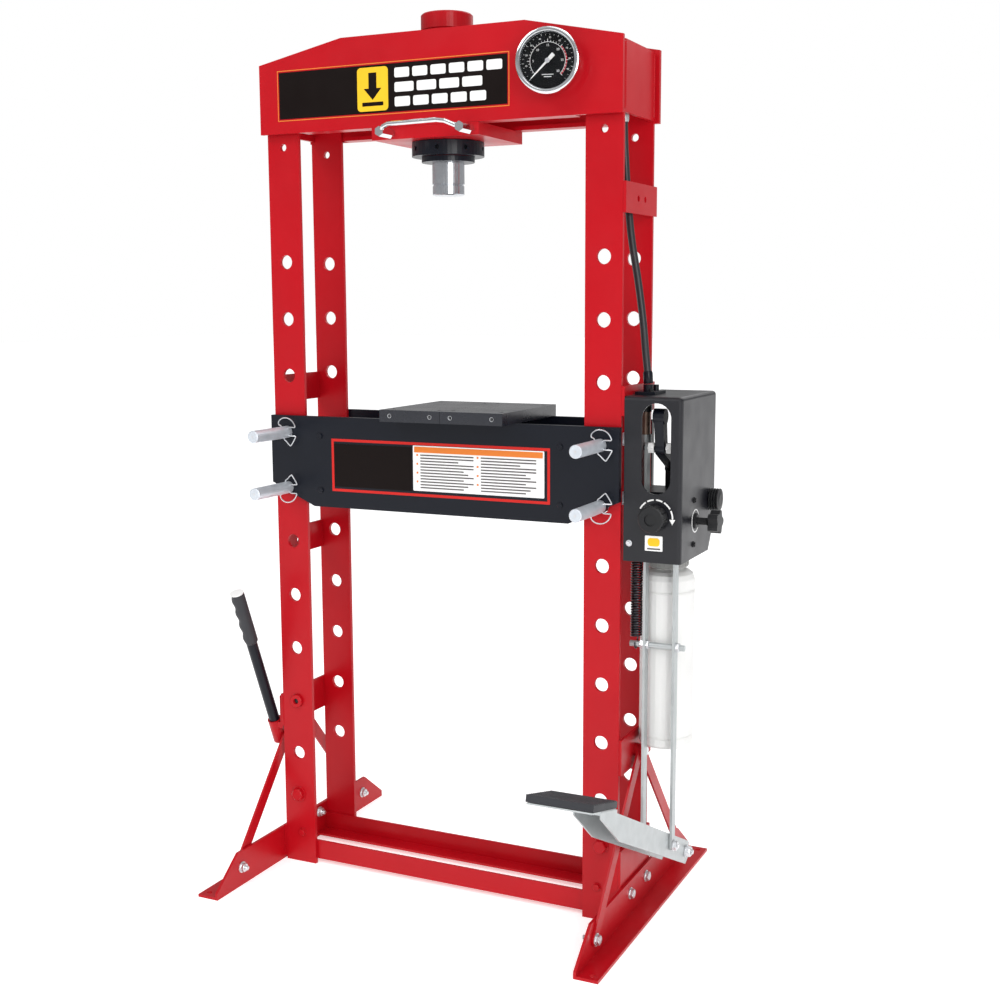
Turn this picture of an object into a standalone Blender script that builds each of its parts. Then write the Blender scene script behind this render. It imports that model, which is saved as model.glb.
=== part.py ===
"""Hydraulic shop press with an air/hydraulic foot pump: the solids, in metres, Z up, standing on Z = 0.

Sizes below are written in press coordinates: X = 0 is midway between the uprights, Y = 0 is the front
face of the front uprights and Z = 0 is the floor. SHIFT moves them so that the bounding box is centred.
"""

import math

import bmesh
import bpy
from mathutils import Matrix, Vector
from mathutils.geometry import tessellate_polygon

for item in list(bpy.data.objects):
    bpy.data.objects.remove(item)

SHIFT = Vector((-0.0575, -0.0255, 0.0))
GAP = 0.0003
RUN = 0.00006

COLOURS = {
    "red_paint": ((0.62, 0.01, 0.02), 0.0, 0.35),
    "black_paint": ((0.02, 0.024, 0.03), 0.0, 0.45),
    "black_plastic": ((0.015, 0.015, 0.016), 0.0, 0.5),
    "rubber": ((0.02, 0.02, 0.022), 0.0, 0.8),
    "zinc": ((0.62, 0.64, 0.66), 0.9, 0.35),
    "chrome": ((0.8, 0.8, 0.82), 1.0, 0.12),
    "bottle": ((0.85, 0.86, 0.86), 0.0, 0.4),
    "bronze": ((0.35, 0.25, 0.2), 0.8, 0.4),
    "white_paint": ((0.85, 0.85, 0.85), 0.0, 0.4),
}

HOLE_PITCH = 0.118
TOP_HOLE_Z = 1.312
PIN_X = 0.354
PIN_Z = (0.958, 0.840)
PIN_RADIUS = 0.0127
UPRIGHT_X = (0.3165, 0.3915)
UPRIGHT_TOP = 1.700
FRONT_Y = (0.0, 0.008)
REAR_Y = (0.166, 0.174)
BETWEEN_Y = (0.008 + GAP, 0.166 - GAP)
SIDE_X = (0.3918, 0.3978)
INSIDE_X = (0.3855, 0.3912)  # the left tie plates, flush with the uprights' outer edges
FOOT_X = (0.3981, 0.4041)
CYLINDER_X = -0.014
CYLINDER_Y = 0.083
BODY_RADIUS = 0.052
RAM_RADIUS = 0.0325
GAUGE_BACK = (0.259, -0.032, 1.664)
GAUGE_TURN = math.radians(12)
GAUGE_AXIS = (math.sin(GAUGE_TURN), -math.cos(GAUGE_TURN), 0.0)
PEDAL_PIVOT = (0.140, 0.116)
PEDAL_LINK = (0.040, 0.166)
ROCKER_PIVOT = (0.140, 0.902)
ROCKER_LINK = (0.040, 0.952)
CROSS_PIN = (0.040, 0.566)
STUD = 0.006
LINK_BARS = ((0.428, 0.433), (0.488, 0.493))
PEDAL_X = (0.434, 0.487)
SLOPE = 0.49
PLATE_Y = (-0.075, 0.188)
PLATE_Z = (0.9933, 1.0173)
LEVER_RADIUS = 0.0118
LEVER_START = (-0.424, 0.0322, 0.262)
LEVER_AXIS = (0.0, -0.372, 0.928)
RELEASE_KNOB = (0.462, 0.824)
VALVE_KNOB = (0.088, 0.8085)


def material_of(name):
    """The material of this name, made on first use."""
    found = bpy.data.materials.get(name)
    if found:
        return found
    colour, metallic, roughness = COLOURS[name]
    made = bpy.data.materials.new(name)
    made.use_nodes = True
    shader = made.node_tree.nodes["Principled BSDF"]
    shader.inputs["Base Color"].default_value = (*colour, 1.0)
    shader.inputs["Metallic"].default_value = metallic
    shader.inputs["Roughness"].default_value = roughness
    return made


def place(axis, along, u, v):
    """A point of a profile drawn square to an axis: X takes (y, z), Y takes (x, z) and Z takes (x, y)."""
    return {"X": (along, u, v), "Y": (u, along, v), "Z": (u, v, along)}[axis]


def circle(u, v, radius, sides=24):
    steps = [2 * math.pi * (k + 0.5) / sides for k in range(sides)]
    return [(u + radius * math.cos(a), v + radius * math.sin(a)) for a in steps]


def hull(circles, sides=24):
    """The tight outline round a few circles (u, v, radius)."""
    points = sorted({p for u, v, r in circles for p in circle(u, v, r, sides)})
    half = []
    for run in (points, points[::-1]):
        chain = []
        for p in run:
            while len(chain) > 1 and turn_of(chain[-2], chain[-1], p) <= 1e-12:
                chain.pop()
            chain.append(p)
        half += chain[:-1]
    return half


def turn_of(a, b, c):
    return (b[0] - a[0]) * (c[1] - a[1]) - (b[1] - a[1]) * (c[0] - a[0])


def box(x, y, z):
    verts = [(a, b, c) for a in x for b in y for c in z]
    faces = [(0, 1, 3, 2), (4, 6, 7, 5), (0, 4, 5, 1), (2, 3, 7, 6), (0, 2, 6, 4), (1, 5, 7, 3)]
    return verts, faces


def prism(axis, span, outline, holes=()):
    """An outline, with round or other holes, drawn out along an axis."""
    loops = [outline, *holes]
    flat = [[Vector((u, v, 0.0)) for u, v in loop] for loop in loops]
    points = [p for loop in flat for p in loop]
    count = len(points)
    verts = [place(axis, along, p.x, p.y) for along in span for p in points]
    faces = []
    for triangle in tessellate_polygon(flat):
        faces.append(tuple(triangle))
        faces.append(tuple(k + count for k in reversed(triangle)))
    first = 0
    for loop in loops:
        size = len(loop)
        for k in range(size):
            a = first + k
            b = first + (k + 1) % size
            faces.append((a, b, b + count, a + count))
        first += size
    return verts, faces


def turned(start, direction, profile, sides=32, ring=False):
    """A profile of (distance, radius) points turned about a line. A ring profile closes on itself."""
    spin = Vector(direction).normalized().to_track_quat("Z", "Y").to_matrix()
    verts = []
    for along, radius in profile:
        for u, v in circle(0.0, 0.0, radius, sides):
            verts.append(tuple(Vector(start) + spin @ Vector((u, v, along))))
    rows = len(profile)
    faces = []
    for i in range(rows if ring else rows - 1):
        low = i * sides
        high = ((i + 1) % rows) * sides
        for k in range(sides):
            n = (k + 1) % sides
            faces.append((low + k, low + n, high + n, high + k))
    if not ring:
        faces.append(tuple(reversed(range(sides))))
        faces.append(tuple((rows - 1) * sides + k for k in range(sides)))
    return verts, faces


def rod(start, end, radius, sides=24):
    """A plain round bar between two points."""
    length = (Vector(end) - Vector(start)).length
    direction = Vector(end) - Vector(start)
    return turned(start, direction, [(0.0, radius), (length, radius)], sides)


def swept(points, radius, sides=12):
    """A round wire along a line of points."""
    line = [Vector(p) for p in points]
    heading = (line[1] - line[0]).normalized()
    side = heading.orthogonal().normalized()
    verts = []
    for i, point in enumerate(line):
        ahead = line[min(i + 1, len(line) - 1)] - line[max(i - 1, 0)]
        ahead.normalize()
        side = heading.rotation_difference(ahead) @ side
        heading = ahead
        up = heading.cross(side)
        for k in range(sides):
            a = 2 * math.pi * k / sides
            verts.append(tuple(point + radius * (math.cos(a) * side + math.sin(a) * up)))
    faces = []
    for i in range(len(line) - 1):
        for k in range(sides):
            n = (k + 1) % sides
            a = i * sides
            faces.append((a + k, a + n, a + sides + n, a + sides + k))
    faces.append(tuple(reversed(range(sides))))
    faces.append(tuple((len(line) - 1) * sides + k for k in range(sides)))
    return verts, faces


def mirrored(shape):
    """The same shape on the other side of the press."""
    verts, faces = shape
    return [(-x, y, z) for x, y, z in verts], [tuple(reversed(f)) for f in faces]


def mesh_object(name, shapes, origin):
    """One object holding these separate closed shapes, with its origin at a point in press coordinates."""
    mesh = bpy.data.meshes.new(name)
    verts = []
    faces = []
    for shape_verts, shape_faces in shapes:
        first = len(verts)
        verts += [tuple(Vector(v) - origin) for v in shape_verts]
        faces += [tuple(first + k for k in f) for f in shape_faces]
    mesh.from_pydata(verts, [], faces)
    work = bmesh.new()
    work.from_mesh(mesh)
    bmesh.ops.recalc_face_normals(work, faces=work.faces)
    work.to_mesh(mesh)
    work.free()
    made = bpy.data.objects.new(name, mesh)
    made.location = origin + SHIFT
    bpy.context.scene.collection.objects.link(made)
    return made


def node(name, material, shape, add=(), cut=(), origin=(0.0, 0.0, 0.0)):
    """One piece of the press: a shape, with others joined on and others cut away."""
    origin = Vector(origin)
    made = mesh_object(name, [shape], origin)
    made.data.materials.append(material_of(material))
    for k, extra in enumerate(add):
        join(made, mesh_object(f"{name}.add{k}", [extra], origin), "UNION")
    if cut:
        join(made, mesh_object(f"{name}.cut", list(cut), origin), "DIFFERENCE")
    return made


def join(made, helper, operation):
    helper.hide_render = True
    helper.display_type = "WIRE"
    modifier = made.modifiers.new(helper.name, "BOOLEAN")
    modifier.operation = operation
    modifier.solver = "EXACT"
    modifier.object = helper


def both_sides(name, material, shape, add=(), cut=()):
    """A piece on the right and its mirror image on the left."""
    node(f"{name}_right", material, shape, add, cut)
    node(f"{name}_left", material, mirrored(shape), [mirrored(s) for s in add], [mirrored(s) for s in cut])


def upright(name, y, side):
    """A flat bar with its row of pin holes and one small hole under the head."""
    low, high = (UPRIGHT_X[0], UPRIGHT_X[1]) if side > 0 else (-UPRIGHT_X[1], -UPRIGHT_X[0])
    outline = [(low, 0.0), (high, 0.0), (high, UPRIGHT_TOP), (low, UPRIGHT_TOP)]
    holes = [circle(side * PIN_X, TOP_HOLE_Z - HOLE_PITCH * k, 0.0145, 20) for k in range(10)]
    holes.append(circle(side * PIN_X, 1.545, 0.0075, 16))
    node(name, "red_paint", prism("Y", y, outline, holes))


def frame():
    for word, y in (("front", FRONT_Y), ("rear", REAR_Y)):
        upright(f"upright_{word}_right", y, 1)
        upright(f"upright_{word}_left", y, -1)
    feet()
    cross_members()
    side_plates()
    braces()


def feet():
    """Two angle irons with cut-off corners and a fixing hole at each end."""
    wall = [(-0.248, 0.0), (0.430, 0.0), (0.430, 0.014), (0.350, 0.075), (-0.172, 0.075), (-0.248, 0.014)]
    flange = box((FOOT_X[0] + 0.001, 0.447), (-0.248, 0.430), (0.0, 0.006))
    holes = [rod((0.430, y, -0.01), (0.430, y, 0.02), 0.006, 16) for y in (-0.232, 0.414)]
    both_sides("foot", "red_paint", prism("X", FOOT_X, wall), [flange], holes)


def cross_members():
    """Two angle irons between the uprights, each with its flat side down."""
    reach = UPRIGHT_X[1]
    front = [(BETWEEN_Y[0], 0.010), (0.050, 0.010), (0.050, 0.015), (0.0135, 0.015), (0.0135, 0.052), (BETWEEN_Y[0], 0.052)]
    rear = [(BETWEEN_Y[1], 0.010), (0.124, 0.010), (0.124, 0.015), (0.1605, 0.015), (0.1605, 0.052), (BETWEEN_Y[1], 0.052)]
    node("cross_member_front", "red_paint", prism("X", (-reach, reach), front))
    node("cross_member_rear", "red_paint", prism("X", (-reach, reach), rear))


def side_plate(name, side, low, high, holes=(), across=SIDE_X, depth=(0.0, 0.174)):
    """A flat plate that ties a front and a rear upright together."""
    outline = [(depth[0], low), (depth[1], low), (depth[1], high), (depth[0], high)]
    cuts = [circle(y, (low + high) / 2, 0.006, 16) for y in holes]
    shape = prism("X", across, outline, cuts)
    node(name, "red_paint", shape if side > 0 else mirrored(shape))


def inner_plate(name, low, high, holes):
    """A tie plate that stands between the two left uprights, flush with their outer edges."""
    side_plate(name, -1, low, high, holes, INSIDE_X, (0.008 + GAP, 0.166 - GAP))


def side_plates():
    side_plate("base_plate_left", -1, 0.007, 0.078)
    side_plate("base_plate_right", 1, 0.007, 0.150)
    inner_plate("tie_plate_left_upper", 1.018, 1.076, (0.068, 0.106))
    inner_plate("tie_plate_left_lower", 0.682, 0.742, (0.068, 0.106))
    side_plate("tie_plate_right_top", 1, 1.392, 1.449, (0.068, 0.106))
    side_plate("tie_plate_right_upper", 1, 1.014, 1.070, (0.028, 0.146))
    outline = [(0.0, 0.306), (0.174, 0.306), (0.174, 0.378), (0.0, 0.378)]
    boss = rod((SIDE_X[0] + 0.002, 0.083, 0.336), (FOOT_X[1], 0.083, 0.336), 0.014)
    both_sides("brace_plate", "red_paint", prism("X", SIDE_X, outline), [boss])


def braces():
    """Two flat bars on each side, stacked where they meet at the top bolt."""
    top = (0.083, 0.336, 0.013)
    for word, y, x in (("front", -0.160, (0.4044, 0.4089)), ("rear", 0.336, (0.4092, 0.4137))):
        outline = hull([top, (y, 0.040, 0.013)], 20)
        holes = [circle(0.083, 0.336, 0.005, 12), circle(y, 0.040, 0.005, 12)]
        shape = prism("X", x, outline, holes)
        node(f"brace_{word}_right", "red_paint", shape)
        node(f"brace_{word}_left", "red_paint", mirrored(shape))


def head():
    """Two tall plates with inward lips for the cylinder to hang on, and two end plates."""
    reach = 0.396
    outline = [(-reach, 1.570), (reach, 1.570), (reach, 1.708), (0.200, 1.748), (-0.200, 1.748), (-reach, 1.708)]
    lip = box((-0.300, 0.300), (-0.012, 0.015), (1.570, 1.578))
    pads = [box((s * 0.317, s * 0.391), (-0.012, -GAP), (1.582, 1.698)) for s in (-1, 1)]
    node("head_front_plate", "red_paint", prism("Y", (-0.018, -0.010), outline), [lip, *pads])
    outline = [(u * 0.400 / reach if abs(u) == reach else u, v) for u, v in outline]
    lip = box((-0.300, 0.300), (0.150, 0.177), (1.570, 1.578))
    node("head_rear_plate", "red_paint", prism("Y", (0.174 + GAP, 0.1843), outline), [lip])
    both_sides("head_end", "red_paint", box((0.3835, 0.3915), BETWEEN_Y, (1.574, 1.704)))


def work_cylinder():
    """The cylinder hangs by its flange on the head's lips, and slides along them."""
    centre = (CYLINDER_X, CYLINDER_Y, 0.0)
    body = [
        (1.740, RAM_RADIUS + RUN), (1.506, RAM_RADIUS + RUN), (1.506, 0.0535), (1.5165, 0.0535),
        (1.5165, BODY_RADIUS), (1.5785, BODY_RADIUS), (1.5785, 0.080), (1.592, 0.080),
        (1.592, BODY_RADIUS), (1.7590, BODY_RADIUS), (1.7605, 0.050), (1.7620, BODY_RADIUS),
        (1.790, BODY_RADIUS), (1.793, 0.049),
    ]
    node("cylinder_body", "red_paint", turned(centre, (0, 0, 1), body, 48))
    plate = [(-0.132, -0.018), (0.104, -0.018), (0.104, 0.184), (-0.132, 0.184)]
    hole = circle(CYLINDER_X, CYLINDER_Y, BODY_RADIUS + GAP, 48)
    node("cylinder_carriage", "red_paint", prism("Z", (1.546, 1.5697), plate, [hole]))
    ring = [(1.517, BODY_RADIUS + GAP), (1.517, 0.073), (1.545, 0.073), (1.545, BODY_RADIUS + GAP)]
    holes = []
    for k in range(8):
        a = math.radians(45 * k + 10)
        out = Vector((math.cos(a), math.sin(a), 0.0))
        middle = Vector((CYLINDER_X, CYLINDER_Y, 1.531))
        holes.append(rod(tuple(middle + 0.065 * out), tuple(middle + 0.080 * out), 0.0045, 12))
    node("ring_nut", "black_paint", turned(centre, (0, 0, 1), ring, 48, ring=True), cut=holes)
    carriage_handle()
    ram = [
        (1.441, 0.030), (1.443, 0.032), (1.4595, 0.032), (1.4605, 0.0305), (1.4620, 0.0305),
        (1.463, RAM_RADIUS), (1.725, RAM_RADIUS),
    ]
    node("ram", "chrome", turned(centre, (0, 0, 1), ram, 48), origin=(CYLINDER_X, CYLINDER_Y, 1.441))


def carriage_handle():
    """A bent rod between two threaded sleeves on the front edge of the carriage."""
    left = rod((-0.088, -0.018 - GAP, 1.557), (-0.088, -0.066, 1.557), 0.010, 6)
    right = rod((0.086, -0.018 - GAP, 1.557), (0.086, -0.066, 1.557), 0.010, 6)
    bar = [
        (-0.088, -0.050, 1.557), (-0.086, -0.060, 1.560), (-0.078, -0.067, 1.565), (-0.066, -0.070, 1.569),
        (0.040, -0.070, 1.571), (0.056, -0.068, 1.569), (0.074, -0.062, 1.561), (0.086, -0.050, 1.557),
    ]
    node("carriage_handle", "chrome", left, [right, swept(bar, 0.0045, 12)])


def gauge():
    case = [
        (-0.0115, 0.008), (0.0, 0.008), (0.0, 0.050), (0.002, 0.052), (0.022, 0.052), (0.022, 0.057),
        (0.024, 0.059), (0.032, 0.059), (0.034, 0.057), (0.034, 0.051), (0.026, 0.051),
    ]
    node("gauge_case", "chrome", turned(GAUGE_BACK, GAUGE_AXIS, case, 48))
    back = Vector(GAUGE_BACK)
    out = Vector(GAUGE_AXIS)
    right = Vector((math.cos(GAUGE_TURN), math.sin(GAUGE_TURN), 0.0))
    point = (-right - Vector((0, 0, 1))).normalized()
    side = out.cross(point)
    outline = [(-0.016, -0.0035), (-0.006, -0.0035), (0.0, -0.002), (0.044, -0.0005)]
    outline = outline + [(u, -v) for u, v in reversed(outline)]
    verts, faces = prism("Z", (0.0272, 0.0286), outline)
    verts = [tuple(back + u * point + v * side + w * out) for u, v, w in verts]
    hub = turned(GAUGE_BACK, GAUGE_AXIS, [(0.0263, 0.004), (0.0302, 0.004)], 16)
    node("gauge_needle", "white_paint", (verts, faces), [hub], origin=tuple(back + 0.0263 * out))


def bed():
    reach = 0.393
    outline = [(-reach, 0.850), (-0.289, 0.803), (0.289, 0.803), (reach, 0.850), (reach, 0.993), (-reach, 0.993)]
    holes = [circle(s * PIN_X, z, 0.0135, 24) for s in (-1, 1) for z in PIN_Z]
    node("bed_front_beam", "black_paint", prism("Y", (-0.0135, -0.0015), outline, holes))
    node("bed_rear_beam", "black_paint", prism("Y", (0.1755, 0.1875), outline, holes))
    both_sides("bed_spacer", "black_paint", box((0.264, 0.280), (-0.0012, 0.1752), (0.815, 0.975)))
    for row, z in (("upper", PIN_Z[0]), ("lower", PIN_Z[1])):
        for word, side in (("left", -1), ("right", 1)):
            start = (side * PIN_X, -0.138, z)
            profile = [(0.0, 0.0112), (0.0015, PIN_RADIUS), (0.3485, PIN_RADIUS), (0.350, 0.0112)]
            node(f"bed_pin_{row}_{word}", "zinc", turned(start, (0, 1, 0), profile, 24), origin=start)
    press_plate("press_plate_left", -0.092, 0.043 - GAP)
    press_plate("press_plate_right", 0.043 + GAP, 0.178)


def press_plate(name, low, high):
    """A loose steel plate with tapped holes in its front edge and near its corners."""
    middle = (low + high) / 2
    level = (PLATE_Z[0] + PLATE_Z[1]) / 2
    front, rear = PLATE_Y
    cuts = [rod((middle + s * 0.045, front - 0.018, level), (middle + s * 0.045, front + 0.020, level), 0.0042, 12) for s in (-1, 1)]
    for s in (-1, 1):
        x = middle + s * 0.052
        cuts += [rod((x, y, level), (x, y, PLATE_Z[1] + 0.007), 0.0042, 12) for y in (front + 0.030, rear - 0.030)]
    node(name, "black_paint", box((low, high), PLATE_Y, PLATE_Z), cut=cuts)


def pump_housing():
    """Bent sheet with a front, a right side, a top and a narrow left return. Back, left and bottom are open."""
    outer = rounded_box((0.3985, 0.5125), (-0.002, 0.212), (0.737, 1.052), 0.007)
    inner = rounded_box((0.3700, 0.5095), (0.001, 0.260), (0.700, 1.049), 0.004)
    window = prism("Y", (-0.010, 0.006), hull([(0.462, 0.897, 0.029), (0.462, 1.011, 0.029)]))
    cuts = [inner]
    made = node("pump_housing", "black_paint", outer, cut=cuts)
    flange = box((0.3985, 0.4015), (0.0, 0.022), (0.742, 1.0500))
    join(made, mesh_object("pump_housing.flange", [flange], Vector()), "UNION")
    notch = prism("X", (0.480, 0.530), [(0.152, 0.700), (0.230, 0.700), (0.230, 0.775), (0.200, 0.775)])
    holes = [
        window,
        notch,
        rod((RELEASE_KNOB[0], -0.010, RELEASE_KNOB[1]), (RELEASE_KNOB[0], 0.010, RELEASE_KNOB[1]), 0.0060),
        rod((0.500, VALVE_KNOB[0], VALVE_KNOB[1]), (0.530, VALVE_KNOB[0], VALVE_KNOB[1]), 0.0080),
        rod((0.500, 0.079, 0.850), (0.530, 0.079, 0.850), 0.0030, 12),
        rod((0.500, 0.077, 0.764), (0.530, 0.077, 0.764), 0.0030, 12),
    ]
    join(made, mesh_object("pump_housing.holes", holes, Vector()), "DIFFERENCE")


def rounded_box(x, y, z, radius):
    """A box with its front right, front top, right top and left top edges rounded."""
    verts, faces = box(x, y, z)
    work = bmesh.new()
    points = [work.verts.new(v) for v in verts]
    for face in faces:
        work.faces.new([points[k] for k in face])
    work.edges.ensure_lookup_table()

    def bent(edge):
        middle = (edge.verts[0].co + edge.verts[1].co) / 2
        front = abs(middle.y - y[0]) < 1e-6
        right = abs(middle.x - x[1]) < 1e-6
        top = abs(middle.z - z[1]) < 1e-6
        return (front and right) or (front and top) or (right and top)

    edges = [edge for edge in work.edges if bent(edge)]
    bmesh.ops.bevel(work, geom=edges, offset=radius, segments=3, profile=0.5, affect="EDGES")
    work.verts.index_update()
    result = [tuple(v.co) for v in work.verts], [tuple(v.index for v in f.verts) for f in work.faces]
    work.free()
    return result


def pump():
    pump_housing()
    ear = hull([(*ROCKER_PIVOT, 0.014), (0.127, 0.861, 0.001), (0.148, 0.861, 0.001)], 20)
    hole = circle(*ROCKER_PIVOT, STUD + RUN)
    ears = [prism("X", x, ear, [hole]) for x in ((0.438, 0.4485), (0.4685, 0.479))]
    hanger = box((0.405, 0.418), (0.034, 0.060), (0.8003, 0.8140))
    block = box((0.4045, 0.5055), (0.054, 0.150), (0.745, 0.865))
    mount = box((0.400, 0.410), (0.060, 0.145), (0.760, 0.850))
    node("pump_block", "black_paint", block, [*ears, hanger, mount])
    motor = [
        (0.8653, 0.007), (0.958, 0.007), (0.958, 0.0115), (0.974, 0.0115), (0.974, 0.009),
        (1.018, 0.009), (1.018, 0.0115), (1.036, 0.0115),
    ]
    node("air_motor", "bronze", turned((0.4155, 0.072, 0.0), (0, 0, 1), motor, 20))
    bottle = [
        (0.352, 0.046), (0.354, 0.0505), (0.359, 0.0535), (0.690, 0.0535), (0.700, 0.050), (0.706, 0.042),
        (0.709, 0.032), (0.712, 0.030), (0.7447, 0.030), (0.7447, 0.0275), (0.711, 0.0275), (0.706, 0.031),
        (0.703, 0.041), (0.698, 0.048), (0.689, 0.051), (0.360, 0.051), (0.356, 0.048), (0.3545, 0.044),
    ]
    node("oil_reservoir", "bottle", turned((0.453, 0.105, 0.0), (0, 0, 1), bottle, 32))
    inlet = [(0.5128, 0.010)]
    for k in range(4):
        x = 0.514 + 0.0052 * k
        inlet += [(x, 0.018), (x + 0.0008, 0.022), (x + 0.0030, 0.022), (x + 0.0038, 0.018)]
    inlet.append((0.5350, 0.012))
    node("air_inlet", "black_plastic", turned((0.0, 0.186, 0.838), (1, 0, 0), inlet, 24))
    pump_rocker()
    return_spring()
    knobs()


def pump_rocker():
    """The arm that works the pump, with its pivot pin and the pin that the link pulls on."""
    arm = prism("X", (0.449, 0.468), hull([(*ROCKER_PIVOT, 0.014), (*ROCKER_LINK, 0.013)]))
    neck = prism("X", (0.4495, 0.4675), hull([(*ROCKER_LINK, 0.011), (0.032, 1.010, 0.012)]))
    ball = rod((0.4475, 0.032, 1.013), (0.4695, 0.032, 1.013), 0.015)
    pivot = rod((0.434, *ROCKER_PIVOT), (0.483, *ROCKER_PIVOT), STUD)
    pin = rod((0.424, *ROCKER_LINK), (0.497, *ROCKER_LINK), STUD)
    origin = (0.4585, *ROCKER_PIVOT)
    node("pump_rocker", "black_paint", arm, [neck, ball, pivot, pin], origin=origin)


def return_spring():
    """A close coil between the pump block and the link's cross pin."""
    low, high = 0.5727, 0.8000
    turns = 22
    steps = 8
    points = []
    for k in range(turns * steps + 1):
        a = 2 * math.pi * k / steps
        z = low + 0.0017 + (high - low - 0.0034) * k / (turns * steps)
        points.append((0.4115 + 0.0100 * math.cos(a), 0.040 + 0.0100 * math.sin(a), z))
    node("return_spring", "black_paint", swept(points, 0.0016, 4), origin=(0.4115, 0.040, high))


def knobs():
    x, z = RELEASE_KNOB
    profile = [(-0.032, 0.012), (-0.032, 0.023), (-0.030, 0.0255), (-0.006, 0.026), (-0.0023, 0.024), (-0.0023, 0.005), (0.0535, 0.005)]
    start = (x, 0.0, z)
    dish = turned(start, (0, 1, 0), [(-0.040, 0.012), (-0.029, 0.012)], 24)
    grips = []
    for k in range(12):
        a = 2 * math.pi * k / 12
        spot = (x + 0.0270 * math.cos(a), z + 0.0270 * math.sin(a))
        grips.append(rod((spot[0], -0.050, spot[1]), (spot[0], -0.0080, spot[1]), 0.0028, 10))
    node("release_knob", "black_plastic", turned(start, (0, 1, 0), profile, 36), cut=[dish, *grips], origin=start)
    y, z = VALVE_KNOB
    start = (0.0, y, z)
    shaft = turned(start, (1, 0, 0), [(0.5058, 0.007), (0.545, 0.007)], 24)
    outline = []
    for k in range(30):
        a = 2 * math.pi * k / 30
        r = 0.0205 + 0.0035 * math.cos(5 * a)
        outline.append((y + r * math.cos(a), z + r * math.sin(a)))
    grip = prism("X", (0.543, 0.562), outline)
    node("valve_knob", "black_plastic", shaft, [grip], origin=(0.5058, y, z))


def top_line(y):
    """Height of the pedal's top face."""
    return 0.186 - SLOPE * (y - 0.045)


def pedal():
    """A channel-shaped pedal on a stud that stands on the right base plate."""
    flange = rod((0.3981, *PEDAL_PIVOT), (0.4035, *PEDAL_PIVOT), 0.019)
    sleeve = rod((0.4010, *PEDAL_PIVOT), (0.4328, *PEDAL_PIVOT), 0.011)
    stud = rod((0.4280, *PEDAL_PIVOT), (0.500, *PEDAL_PIVOT), STUD)
    node("pedal_bracket", "zinc", flange, [sleeve, stud])
    side = [
        (0.160, top_line(0.160)), (0.163, 0.112), (0.156, 0.096), (0.140, 0.0882), (-0.250, 0.2794),
        (-0.340, 0.3520), (-0.340, 0.3646), (-0.262, 0.3435), (-0.262, top_line(-0.262)),
    ]
    inside = [
        (0.180, top_line(0.180) - 0.0034), (-0.262, top_line(-0.262) - 0.0034), (-0.352, 0.3625),
        (-0.352, 0.2000), (0.180, 0.0300),
    ]
    shape = prism("X", PEDAL_X, side)
    hollow = prism("X", (PEDAL_X[0] + 0.003, PEDAL_X[1] - 0.003), inside)
    bore = rod((0.430, *PEDAL_PIVOT), (0.4355, *PEDAL_PIVOT), STUD + RUN)
    origin = (0.4605, *PEDAL_PIVOT)
    made = node("foot_pedal", "zinc", shape, cut=[hollow], origin=origin)
    bores = [rod((x, *PEDAL_PIVOT), (x + 0.006, *PEDAL_PIVOT), STUD + RUN) for x in (0.4325, 0.4825)]
    join(made, mesh_object("foot_pedal.bores", bores, Vector(origin)), "DIFFERENCE")
    plate = prism("X", (0.3640, 0.4860), [(-0.379, 0.3737), (-0.266, 0.3431), (-0.266, 0.3462), (-0.379, 0.3768)])
    pin = rod((0.424, *PEDAL_LINK), (0.497, *PEDAL_LINK), STUD)
    for k, shape in enumerate((plate, pin)):
        join(made, mesh_object(f"foot_pedal.add{k}", [shape], Vector(origin)), "UNION")
    pedal_pad(origin)


def pedal_pad(origin):
    """A rubber pad with ridges across it."""
    tilt = math.atan2(0.3737 - 0.3431, -0.379 + 0.266)
    along = Vector((math.cos(tilt), math.sin(tilt)))
    up = Vector((-along.y, along.x)) * -1.0
    start = Vector((-0.2640, 0.3462)) + 0.0006 * up
    length = 0.119
    local = [(0.0, 0.0), (length, 0.0)]
    ridges = 12
    pitch = length / ridges
    for k in range(ridges):
        s = length - k * pitch
        local += [(s, 0.0130), (s - 0.4 * pitch, 0.0130), (s - 0.5 * pitch, 0.0112), (s - 0.9 * pitch, 0.0112)]
    local.append((0.0, 0.0112))
    outline = [tuple(start + s * along + h * up) for s, h in local]
    node("pedal_pad", "rubber", prism("X", (0.3620, 0.4870), outline), origin=origin)


def pump_link():
    """Two flat bars and a cross pin. The bars carry the pedal's pull up to the rocker."""
    outline = hull([(*PEDAL_LINK, 0.010), (*ROCKER_LINK, 0.010)], 20)
    holes = [circle(*PEDAL_LINK, STUD + RUN), circle(*ROCKER_LINK, STUD + RUN)]
    bars = [prism("X", x, outline, holes) for x in LINK_BARS]
    pin = rod((0.3995, *CROSS_PIN), (0.510, *CROSS_PIN), STUD)
    node("pump_link", "zinc", bars[0], [bars[1], pin], origin=(0.4605, *PEDAL_LINK))


def smooth_route(stops, steps):
    """Points along a smooth curve through the stops."""
    line = [Vector(s) for s in stops]
    line = [2 * line[0] - line[1], *line, 2 * line[-1] - line[-2]]
    points = []
    for i in range(1, len(line) - 2):
        a, b, c, d = line[i - 1], line[i], line[i + 1], line[i + 2]
        for k in range(steps):
            t = k / steps
            points.append(tuple(0.5 * (2 * b + (c - a) * t + (2 * a - 5 * b + 4 * c - d) * t * t + (3 * b - a - 3 * c + d) * t ** 3)))
    points.append(tuple(line[-2]))
    return points


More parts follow.
